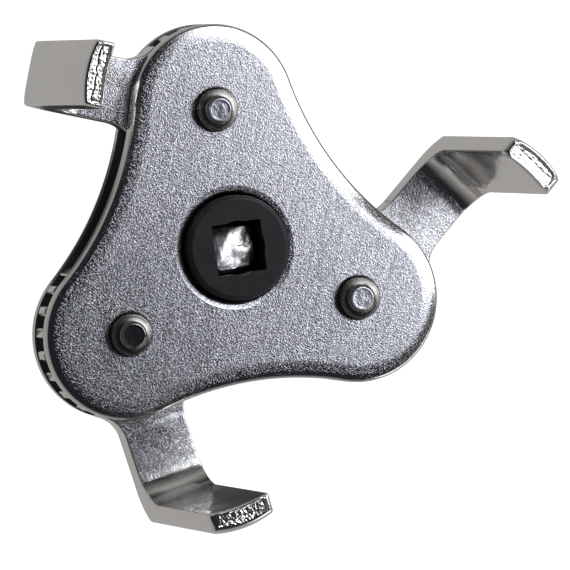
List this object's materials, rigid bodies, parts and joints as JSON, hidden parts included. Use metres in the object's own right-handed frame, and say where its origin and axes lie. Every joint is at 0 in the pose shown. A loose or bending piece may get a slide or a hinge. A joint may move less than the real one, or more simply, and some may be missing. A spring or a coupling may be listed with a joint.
{
  "type": "oil filter wrench",
  "caption": "Three-jaw oil filter wrench: geared arms between two riveted lobed plates close their claws on a filter as a square drive turns.",
  "frame": {"origin": "on the drive axis at the adapter's lower end face, which the wrench stands on", "axes": "+Z along the drive axis towards the claws, +Y from the drive axis to the first pivot pin"},
  "size_m": [0.0924, 0.0931, 0.0741],
  "materials": {
    "blasted_chrome": "fine blasted texture under bright chrome",
    "arm_chrome": "bright chrome over forged steel",
    "pin_chrome": "turned and chromed",
    "black_steel": "satin black oxide",
    "adapter_chrome": "bright chrome, rough forged end",
    "spring_steel": "polished steel"
  },
  "bodies": {
    "frame": {"front_plate": "blasted_chrome", "back_plate": "blasted_chrome", "pivot_pin_1": "pin_chrome", "pivot_pin_2": "pin_chrome", "pivot_pin_3": "pin_chrome"},
    "drive": {"drive_gear": "black_steel"},
    "arm_1": {"arm_1": "arm_chrome"},
    "arm_2": {"arm_2": "arm_chrome"},
    "arm_3": {"arm_3": "arm_chrome"},
    "adapter": {"drive_adapter": "adapter_chrome", "detent_spring": "spring_steel"},
    "ball": {"detent_ball": "spring_steel"}
  },
  "joints": [
    {"name": "drive_turn", "type": "hinge", "parent": "frame", "child": "drive", "pos_m": [0, 0, 0.0321], "axis": [0, 0, 1], "range_deg": [-44.17, 224.17]},
    {"name": "arm_1_swing", "type": "hinge", "parent": "frame", "child": "arm_1", "pos_m": [0, 0.0262, 0.0321], "axis": [0, 0, 1], "range_deg": [-175.44, 34.58]},
    {"name": "arm_2_swing", "type": "hinge", "parent": "frame", "child": "arm_2", "pos_m": [-0.02269, -0.0131, 0.0321], "axis": [0, 0, 1], "range_deg": [-175.44, 34.58]},
    {"name": "arm_3_swing", "type": "hinge", "parent": "frame", "child": "arm_3", "pos_m": [0.02269, -0.0131, 0.0321], "axis": [0, 0, 1], "range_deg": [-175.44, 34.58]},
    {"name": "adapter_pull", "type": "slide", "parent": "drive", "child": "adapter", "axis": [0, 0, -1], "range_m": [0, 0.0143]},
    {"name": "ball_press", "type": "slide", "parent": "adapter", "child": "ball", "axis": [-1, 0, 0], "range_m": [0, 0.0003], "stiffness_N_per_m": 300, "deforming": ["detent_spring"]}
  ],
  "couplings": [
    {"joint": "arm_1_swing", "follows": "drive_turn", "ratio": -0.78261},
    {"joint": "arm_2_swing", "follows": "drive_turn", "ratio": -0.78261},
    {"joint": "arm_3_swing", "follows": "drive_turn", "ratio": -0.78261}
  ]
}
